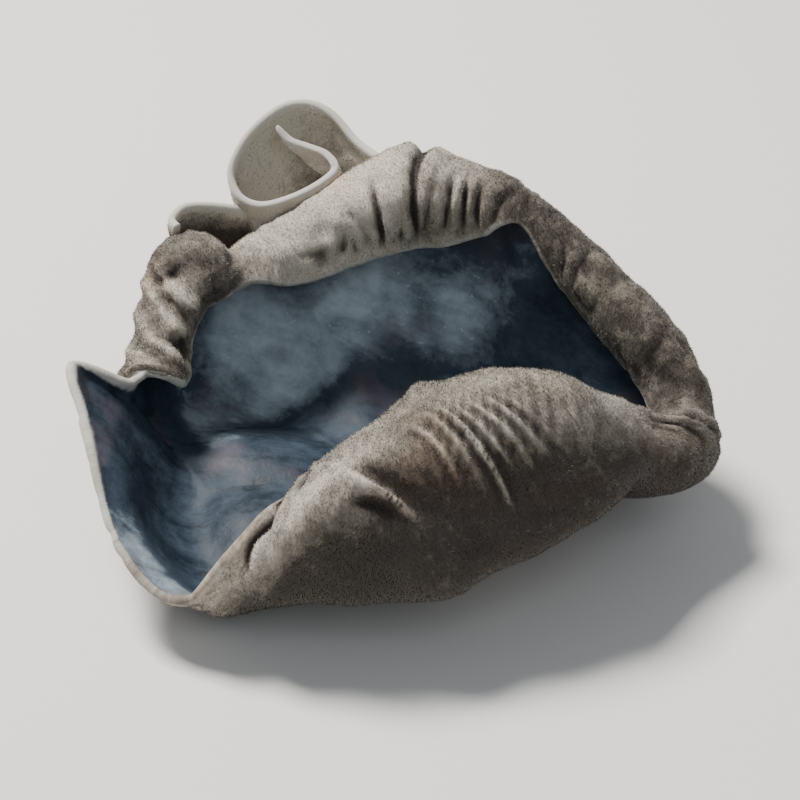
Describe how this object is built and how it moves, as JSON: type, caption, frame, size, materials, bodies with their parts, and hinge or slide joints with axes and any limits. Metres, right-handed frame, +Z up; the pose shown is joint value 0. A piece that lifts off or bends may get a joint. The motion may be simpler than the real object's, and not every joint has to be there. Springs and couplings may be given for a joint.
{
  "type": "dried mushroom",
  "caption": "Dried wood ear mushroom: a dark wrinkled cup with a pale velvety rim rolled inwards, small curled lobes behind it and a flat cut where it left the wood.",
  "frame": {"origin": "middle of the flat cut face the mushroom rests on", "axes": "+Z up out of the open hollow, +X along the mushroom's length towards the end where the front and back rims meet, +Y from the front rim towards the tall back rim"},
  "size_m": [0.0418, 0.0351, 0.0212],
  "materials": {
    "velvet": "dull velvety outside, smooth dark blue-grey satin hollow"
  },
  "bodies": {
    "root": {"wood_ear": "velvet"}
  },
  "joints": []
}
